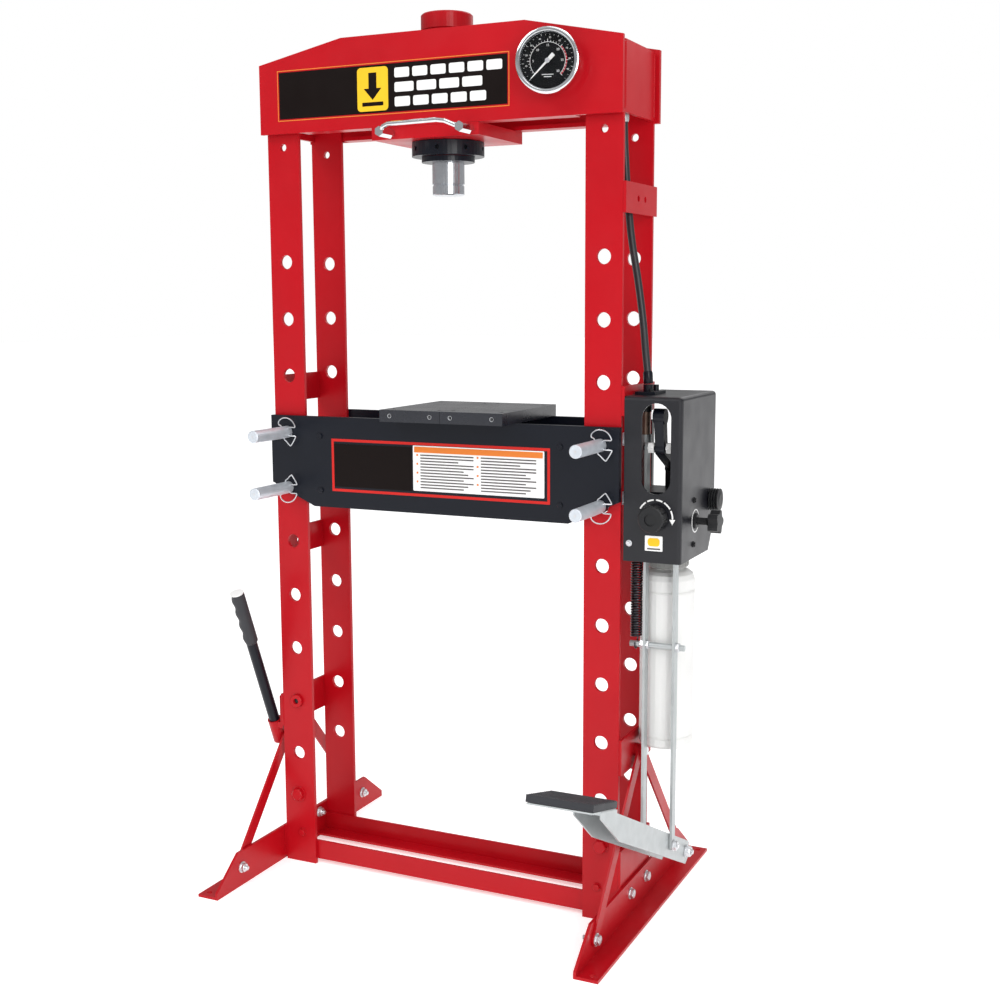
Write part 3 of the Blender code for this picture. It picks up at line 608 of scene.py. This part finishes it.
def head_labels():
    y = HEAD_FACE_Y
    middle = -0.0915
    badge = -0.128
    z = 1.6445
    piece("head_panel", "frame", "panel", flat(middle, z, 0.513, 0.092, y, 0.00030))
    piece("head_panel_border", "frame", "orange", *border(middle, z, 0.521, 0.100, y, 0.0016, 0.00032))
    piece("head_badge", "frame", "yellow", flat(badge, z, 0.070, 0.084, y, 0.00055, 0.008))
    shaft, wing, neck = 0.009, 0.020, -0.004
    arrow = [
        (shaft, 0.026), (-shaft, 0.026), (-shaft, neck), (-wing, neck),
        (0.0, -0.026), (wing, neck), (shaft, neck),
    ]
    press = slab((badge, y, 1.6500), RIGHT, UP, FRONT, arrow, 0.0002, 0.00085)
    base = flat(badge, 1.6160, 0.048, 0.0075, y, 0.00085, 0.001)
    piece("head_badge_mark", "frame", "panel", press, base)
    bars = []
    for k, (width, cells) in enumerate(((0.240, 6), (0.198, 4), (0.206, 5))):
        z = 1.6725 - 0.0275 * k
        cell = width / cells
        for n in range(cells):
            x = -0.082 + cell * (n + 0.5)
            bars.append(flat(x, z, cell - 0.007, 0.0185, y, 0.00055, 0.0035))
    piece("head_panel_bars", "frame", "white", *bars)


# ---------------------------------------------------------------- gauge


def on_dial(radius, degrees):
    """A point of the dial, with degrees counted the way a clock turns from the top."""
    a = math.radians(degrees)
    return radius * math.sin(a), radius * math.cos(a)


def dial_slab(outline, low, high):
    return slab(GAUGE_BACK, GAUGE_RIGHT, UP, GAUGE_OUT, outline, low, high)


def dial_arc(radius, width, first, last, steps=48):
    inner = [on_dial(radius - width / 2, first + (last - first) * k / steps) for k in range(steps + 1)]
    outer = [on_dial(radius + width / 2, first + (last - first) * k / steps) for k in range(steps + 1)]
    verts = []
    for level in (PRINT_BACK, PRINT_FRONT):
        for u, v in inner + outer:
            verts.append(tuple(GAUGE_BACK + u * GAUGE_RIGHT + v * UP + level * GAUGE_OUT))
    row = steps + 1
    faces = []
    for base in (0, 2 * row):
        faces += [(base + k, base + k + 1, base + row + k + 1, base + row + k) for k in range(steps)]
    for back in (0, row):
        front = back + 2 * row
        faces += [(back + k, back + k + 1, front + k + 1, front + k) for k in range(steps)]
    faces.append((0, row, 3 * row, 2 * row))
    faces.append((steps, row + steps, 3 * row + steps, 2 * row + steps))
    return verts, faces


def tick(radius, length, width, degrees):
    a = math.radians(degrees)
    out = Vector((math.sin(a), math.cos(a)))
    side = Vector((out.y, -out.x))
    corners = ((radius, 1), (radius, -1), (radius + length, -1), (radius + length, 1))
    outline = [tuple(out * r + side * s * width / 2) for r, s in corners]
    return dial_slab(outline, PRINT_BACK, 0.02630)


def dial_number(text, size, radius, degrees):
    """A plain number on the dial, as a thin text object."""
    data = bpy.data.curves.new(f"dial_number_{text}", "FONT")
    data.body = text
    data.size = size
    data.align_x = "CENTER"
    data.align_y = "CENTER"
    data.extrude = 0.00008
    made = bpy.data.objects.new(f"dial_number_{text}", data)
    u, v = on_dial(radius, degrees)
    spot = GAUGE_BACK + u * GAUGE_RIGHT + v * UP + 0.02615 * GAUGE_OUT + SHIFT
    axes = Matrix((GAUGE_RIGHT, UP, GAUGE_OUT)).transposed()
    made.matrix_world = Matrix.Translation(spot) @ axes.to_4x4()
    bpy.context.scene.collection.objects.link(made)
    made.data.materials.append(MATERIALS["white"])
    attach(made, "frame")


def gauge():
    face = turned(GAUGE_BACK, GAUGE_OUT, [(0.02602, 0.0508), (0.02604, 0.0508)], 64)
    piece("gauge_dial", "frame", "dial", face)
    marks = []
    for k in range(31):
        length, width = (0.0050, 0.0008) if k % 5 == 0 else (0.0028, 0.0005)
        marks.append(tick(0.0335, length, width, -135 + 9 * k))
    for k in range(28):
        length, width = (0.0036, 0.0006) if k % 4 == 0 else (0.0020, 0.0004)
        marks.append(tick(0.0450, length, width, -135 + 10 * k))
    marks.append(dial_arc(0.0330, 0.0007, -135, 135, 60))
    for v, width in ((-0.0250, 0.022), (-0.0290, 0.014)):
        u, top = width / 2, v + 0.0012
        marks.append(dial_slab([(u, v), (-u, v), (-u, top), (u, top)], PRINT_BACK, PRINT_FRONT))
    piece("gauge_marks", "frame", "white", *marks)
    piece("gauge_red_arc", "frame", "dial_red", dial_arc(0.0352, 0.0016, 45, 135, 24))
    for k in range(7):
        dial_number(str(5 * k), 0.0056, 0.0270, -135 + 45 * k)
    for k in range(1, 10):
        dial_number(f"{k}0", 0.0044, 0.0410, -135 + 27 * k + 6)
    pane = [(0.0314, 0.0505), (0.0324, 0.0505)]
    piece("gauge_glass", "frame", "glass", turned(GAUGE_BACK, GAUGE_OUT, pane, 64))
    rim = [
        (0.0240, 0.0588), (0.0240, 0.0598), (0.0300, 0.0600), (0.0336, 0.0586), (0.0346, 0.0562),
        (0.0346, 0.0530), (0.0330, 0.0509), (0.0320, 0.0509), (0.0320, 0.0585),
    ]
    piece("gauge_bezel", "frame", "chrome", turned(GAUGE_BACK, GAUGE_OUT, rim, 96, ring=True))
    cap = [(0.0300, 0.0044), (0.0306, 0.0042), (0.0309, 0.0030)]
    piece("needle_cap", "needle", "steel", turned(GAUGE_BACK, GAUGE_OUT, cap, 24))


# ---------------------------------------------------------------- pump side


def hose_sleeve(name, material, start, direction, length):
    """A crimped sleeve over one end of the hose."""
    outside, lip, inside = 0.0093, 0.0085, 0.0071
    profile = [
        (0.0, lip), (0.0015, outside), (length - 0.004, outside),
        (length, 0.0080), (length, inside), (0.0, inside),
    ]
    return piece(name, "frame", material, turned(start, direction, profile, 28, ring=True))


def hose():
    """The pressure hose, on the route of the CAD solid."""
    stops = [
        (0.424, 0.060, 1.0725), (0.4225, 0.060, 1.092), (0.418, 0.060, 1.130), (0.412, 0.060, 1.190),
        (0.402, 0.060, 1.261), (0.3885, 0.060, 1.338), (0.3815, 0.060, 1.395), (0.3765, 0.060, 1.450),
        (0.3715, 0.060, 1.530), (0.370, 0.060, 1.588),
    ]
    points = smooth_route(stops, 5)
    route = bpy.data.curves.new("pressure_hose", "CURVE")
    route.dimensions = "3D"
    route.bevel_depth = 0.007
    route.bevel_resolution = 6
    route.use_fill_caps = True
    spline = route.splines.new("POLY")
    spline.points.add(len(points) - 1)
    for target, point in zip(spline.points, points):
        target.co = (*(point + SHIFT), 1.0)
    made = bpy.data.objects.new("pressure_hose", route)
    bpy.context.scene.collection.objects.link(made)
    made.data.materials.append(MATERIALS["hose"])
    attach(made, "frame")
    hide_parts("hydraulic_hose")
    crimp = hose_sleeve("hose_crimp_lower", "black", points[0], points[2] - points[0], 0.024)
    crimp_top = hose_sleeve("hose_crimp_upper", "zinc", points[-1], points[-3] - points[-1], 0.026)


def spring():
    """The return spring, wound close, with a hook on the cross pin."""
    x, y = 0.4115, 0.0400
    low, high = 0.5810, 0.7960
    radius = 0.0102
    turns = 42
    steps = 16
    points = [(x, 0.0490, 0.5735), (x, 0.0500, 0.5765)]
    for k in range(turns * steps + 1):
        a = 2 * math.pi * k / steps + math.pi / 2
        z = low + (high - low) * k / (turns * steps)
        points.append((x + radius * math.cos(a), y + radius * math.sin(a), z))
    wire = swept(points, 0.0017, 8)
    hook = []
    for degrees in range(-120, 121, 15):
        a = math.radians(degrees)
        hook.append((x, CROSS_PIN[0] + 0.0086 * math.sin(a), CROSS_PIN[1] - 0.0086 * math.cos(a)))
    hooks = swept([*hook, (x, 0.0480, 0.5745)], 0.0016, 8)
    made = piece("spring_coil", "link", "coil", wire, hooks, slot="black_paint")
    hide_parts("return_spring")


def reservoir():
    """The ribbed collar under the pump, and the two moulded bands round the bottle."""
    x, y = 0.453, 0.105
    bore, edge, outside = 0.0303, 0.0370, 0.0400
    ring = [
        (0.7125, bore), (0.7125, edge), (0.7150, outside),
        (0.7320, outside), (0.7350, edge), (0.7350, bore),
    ]
    collar = turned((x, y, 0.0), UP, ring, 48, ring=True)
    half, height = 0.0013, 0.014
    ribs = []
    for k in range(30):
        a = 2 * math.pi * k / 30
        out = Vector((math.cos(a), math.sin(a), 0.0))
        side = Vector((-out.y, out.x, 0.0))
        start = Vector((x, y, 0.7165)) + 0.0392 * out
        outline = [(half, 0.0), (half, height), (-half, height), (-half, 0.0)]
        ribs.append(slab(start, side, UP, out, outline, 0.0, 0.0018))
    piece("reservoir_collar", "frame", "grey", collar, *ribs)
    wall, crest = 0.0533, 0.0541
    rings = []
    for z in (0.372, 0.664):
        band = [(z, wall), (z + 0.0012, crest), (z + 0.0036, crest), (z + 0.0048, wall)]
        rings.append(turned((x, y, 0.0), UP, band, 64, ring=True))
    piece("reservoir_bands", "frame", "bottle", *rings)


def housing_marks():
    """A dashed arc with an arrow round the release knob, the valve's ring, bush and neck, and a plate."""
    y = HOUSING_FACE_Y
    knob = (0.462, y, 0.824)
    strips = []
    for first, last in ((-62, -34), (-28, -6), (2, 24), (30, 58), (64, 92)):
        steps = 10
        inner = []
        outer = []
        for k in range(steps + 1):
            a = math.radians(first + (last - first) * k / steps)
            inner.append((0.0325 * math.sin(a), 0.0325 * math.cos(a)))
            outer.append((0.0355 * math.sin(a), 0.0355 * math.cos(a)))
        strips.append(slab(knob, RIGHT, UP, FRONT, inner + outer[::-1], 0.00002, 0.0003))
    tip = math.radians(100)
    u, v = 0.034 * math.sin(tip), 0.034 * math.cos(tip)
    arrow = [(u - 0.006, v + 0.004), (u + 0.006, v + 0.004), (u, v - 0.006)]
    strips.append(slab(knob, RIGHT, UP, FRONT, arrow, 0.00002, 0.0003))
    piece("release_marks", "frame", "white", *strips)
    start = (0.5125, 0.088, 0.8085)
    back = 0.00002
    band = [(back, 0.0205), (0.0004, 0.0205), (0.0004, 0.0230), (back, 0.0230)]
    piece("valve_ring_mark", "frame", "white", turned(start, RIGHT, band, 48, ring=True))
    bush = [(back, 0.0082), (back, 0.0150), (0.0030, 0.0150), (0.0050, 0.0125), (0.0050, 0.0082)]
    piece("valve_bush", "frame", "plastic", turned(start, RIGHT, bush, 36, ring=True))
    x = 0.4595
    piece("housing_plate", "frame", "white", flat(x, 0.7745, 0.035, 0.029, y, 0.0003, 0.0015))
    piece("housing_plate_mark", "frame", "yellow", flat(x, 0.7770, 0.024, 0.016, y, 0.0005, 0.006))
    piece("housing_plate_line", "frame", "ink", flat(x, 0.7640, 0.026, 0.0030, y, 0.0005))
    neck = [(-0.006, 0.0075), (-0.004, 0.0105), (-0.0002, 0.0125), (-0.0002, 0.0075)]
    tee = turned((0.543, 0.088, 0.8085), RIGHT, neck, 36, ring=True)
    piece("valve_knob_neck", "valve", "plastic", tee)


def lever():
    """The hand grip with finger hollows along its front, its pale end cap and the holder's lip."""
    aim = Vector((-1.0, -0.7, 0.0))
    front = aim - aim.dot(LEVER_AXIS) * LEVER_AXIS
    front.normalize()
    side = LEVER_AXIS.cross(front)
    sides = 40
    rows = 76
    verts = []
    for i in range(rows + 1):
        along = 0.262 + 0.126 * i / rows
        share = i / rows
        ends = min(1.0, 6 * share + 0.80, 14 * (1 - share) + 0.90)
        for k in range(sides):
            a = 2 * math.pi * k / sides
            facing = max(0.0, math.cos(a)) ** 2
            hollow = 0.5 - 0.5 * math.cos(2 * math.pi * (4 * share + 0.5))
            radius = (0.0150 + 0.0001 * math.cos(12 * a)) * ends - 0.0029 * facing * hollow
            ring = LEVER_START + along * LEVER_AXIS + radius * (math.cos(a) * front + math.sin(a) * side)
            verts.append(tuple(ring))
    grip = (verts, joined(rows + 1, sides, False))
    made = piece("lever_hand_grip", "lever", "rubber", grip, slot="rubber")
    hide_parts("lever_grip")
    cap = [(0.3875, 0.0140), (0.3888, 0.0152), (0.3900, 0.0150), (0.3905, 0.0120), (0.3906, 0.0020)]
    piece("lever_end_cap", "lever", "white", turned(LEVER_START, LEVER_AXIS, cap, 40))
    lip = [(0.0558, 0.0120), (0.0558, 0.0152), (0.0572, 0.0152), (0.0572, 0.0120)]
    piece("lever_holder_lip", "frame", "red", turned(LEVER_START, LEVER_AXIS, lip, 36, ring=True))


def welds():
    """Painted weld beads in the corners of the head and at the foot of the frame."""
    seams = []
    for side in (-1, 1):
        x = side * 0.3918
        for y in (0.0078, 0.1662):
            seams.append(((x, y, 1.580), (x, y, 1.698), 0.0022))
        x = side * 0.3916
        for first, last in ((0.010, 0.048), (0.126, 0.164)):
            seams.append(((x, first, 0.0088), (x, last, 0.0088), 0.0016))
        x = side * 0.3920
        seams.append(((x, 0.0001, 0.308), (x, 0.0001, 0.376), 0.0018))
    shapes = []
    for start, end, radius in seams:
        a = Vector(start)
        b = Vector(end)
        count = max(6, int((b - a).length / 0.0012))
        line = [a.lerp(b, k / count) for k in range(count + 1)]
        wide = [radius * (0.82 + 0.18 * math.cos(2 * math.pi * k / 3.5)) for k in range(count + 1)]
        shapes.append(swept(line, wide, 8))
    y, z = PEDAL_PIVOT
    steps = 48
    ring = []
    for k in range(steps):
        a = 2 * math.pi * k / steps
        ring.append((0.4037, y + 0.0118 * math.cos(a), z + 0.0118 * math.sin(a)))
    piece("stud_weld", "frame", "zinc", swept(ring, 0.0014, 8, closed=True))
    piece("weld_beads", "frame", "red", *shapes)


# ---------------------------------------------------------------- room


def studio_sky():
    """White to the camera. Its light is in bright and dim bands by height, for contrast in the metal."""
    world = bpy.data.worlds.new("studio")
    bpy.context.scene.world = world
    world.use_nodes = True
    tree = world.node_tree
    coords = tree.nodes.new("ShaderNodeTexCoord")
    parts = tree.nodes.new("ShaderNodeSeparateXYZ")
    ramp = tree.nodes.new("ShaderNodeValToRGB")
    levels = ((0.0, 0.40), (0.47, 0.18), (0.515, 0.60), (0.60, 0.28), (1.0, 0.75))
    for _ in levels[2:]:
        ramp.color_ramp.elements.new(0.5)
    for stop, (position, level) in zip(ramp.color_ramp.elements, levels):
        stop.position = position
        stop.color = (level, level, level * 1.01, 1)
    spread = tree.nodes.new("ShaderNodeMapRange")
    spread.inputs["From Min"].default_value = -1.0
    light = tree.nodes["Background"]
    seen = tree.nodes.new("ShaderNodeBackground")
    seen.inputs["Color"].default_value = (1.0, 1.0, 1.0, 1)
    path = tree.nodes.new("ShaderNodeLightPath")
    mix = tree.nodes.new("ShaderNodeMixShader")
    tree.links.new(coords.outputs["Generated"], parts.inputs["Vector"])
    tree.links.new(parts.outputs["Z"], spread.inputs["Value"])
    tree.links.new(spread.outputs["Result"], ramp.inputs["Fac"])
    tree.links.new(ramp.outputs["Color"], light.inputs["Color"])
    tree.links.new(path.outputs["Is Camera Ray"], mix.inputs["Fac"])
    tree.links.new(light.outputs["Background"], mix.inputs[1])
    tree.links.new(seen.outputs["Background"], mix.inputs[2])
    tree.links.new(mix.outputs["Shader"], tree.nodes["World Output"].inputs["Surface"])


def room():
    """A pale floor, a soft key light from the front right, a fill, a back light and a high sun."""
    floor_mesh = bpy.data.meshes.new("floor")
    floor_mesh.from_pydata([(-30, -12, 0), (30, -12, 0), (30, 40, 0), (-30, 40, 0)], [], [(0, 1, 2, 3)])
    floor = bpy.data.objects.new("floor", floor_mesh)
    bpy.context.scene.collection.objects.link(floor)
    made, tree, main = shader("pale_floor", Emission_Color=(1.0, 1.0, 1.0, 1), Emission_Strength=0.48)
    vary_colour(tree, main, (0.92, 0.92, 0.92), 0.01, noise(tree, 1.5))
    vary_roughness(tree, main, 0.70, 0.80, noise(tree, 3.0))
    floor.data.materials.append(made)
    studio_sky()
    for name, place, aim, size, power in (
        ("key", (3.0, -3.2, 2.0), (0.0, 0.0, 0.7), 1.6, 70),
        ("fill", (-1.8, -3.2, 4.0), (0.0, 0.0, 0.9), 1.8, 48),
        ("back", (0.5, 3.4, 3.4), (0.0, 0.0, 1.0), 2.2, 30),
    ):
        data = bpy.data.lights.new(name, "AREA")
        data.size = size
        data.energy = power
        lamp = bpy.data.objects.new(name, data)
        lamp.location = place
        lamp.rotation_euler = (Vector(aim) - Vector(place)).to_track_quat("-Z", "Y").to_euler()
        bpy.context.scene.collection.objects.link(lamp)
    data = bpy.data.lights.new("sun", "SUN")
    data.energy = 0.8
    data.angle = math.radians(50)
    lamp = bpy.data.objects.new("sun", data)
    lamp.rotation_euler = Vector((-0.35, 0.45, -0.85)).to_track_quat("-Z", "Y").to_euler()
    bpy.context.scene.collection.objects.link(lamp)
    bpy.context.scene.view_settings.view_transform = "Standard"


camera()
hose()
finish_nodes()
air_motor()
cylinder_nose()
fasteners()
pin_clips()
plate_threads()
bed_labels()
head_labels()
gauge()
spring()
reservoir()
housing_marks()
lever()
welds()
room()
